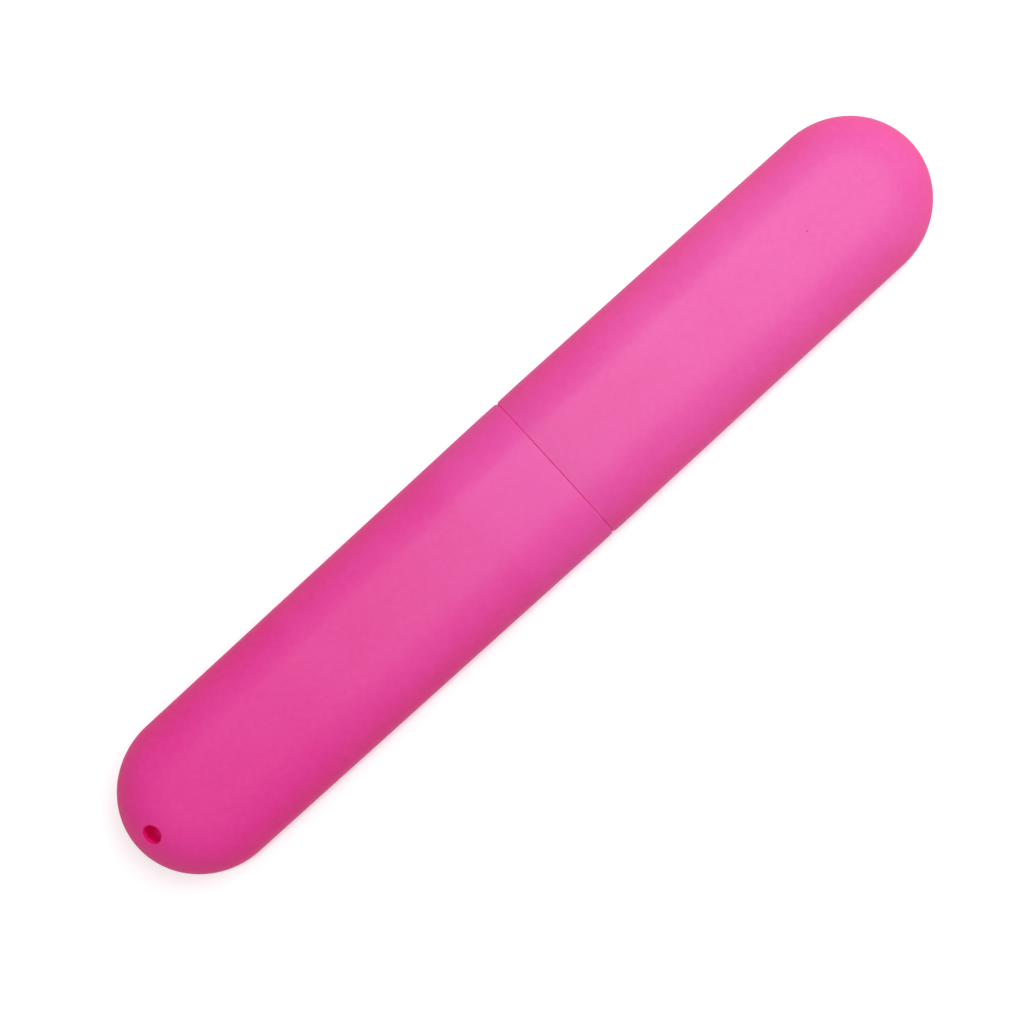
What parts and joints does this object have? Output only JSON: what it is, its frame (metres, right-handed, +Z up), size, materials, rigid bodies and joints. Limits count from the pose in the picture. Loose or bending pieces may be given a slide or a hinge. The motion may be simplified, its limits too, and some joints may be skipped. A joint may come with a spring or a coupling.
{
  "type": "toothbrush case",
  "caption": "Flat-sided, round-ended travel case for a toothbrush: a vented cap pushes over the neck of a base and pulls straight off.",
  "frame": {"origin": "under the middle of the closed case, on the surface it lies on", "axes": "+X along the case, from the vented cap's tip to the base's tip; +Z up, out of the broad face that the vent is on; +Y across"},
  "size_m": [0.18, 0.03, 0.019],
  "materials": {
    "pink_plastic": "satin"
  },
  "bodies": {
    "base": {"necked_base": "pink_plastic"},
    "cap": {"vented_cap": "pink_plastic"}
  },
  "joints": [
    {"name": "cap_pull", "type": "slide", "parent": "base", "child": "cap", "axis": [-1, 0, 0], "range_m": [0, 0.1]}
  ]
}
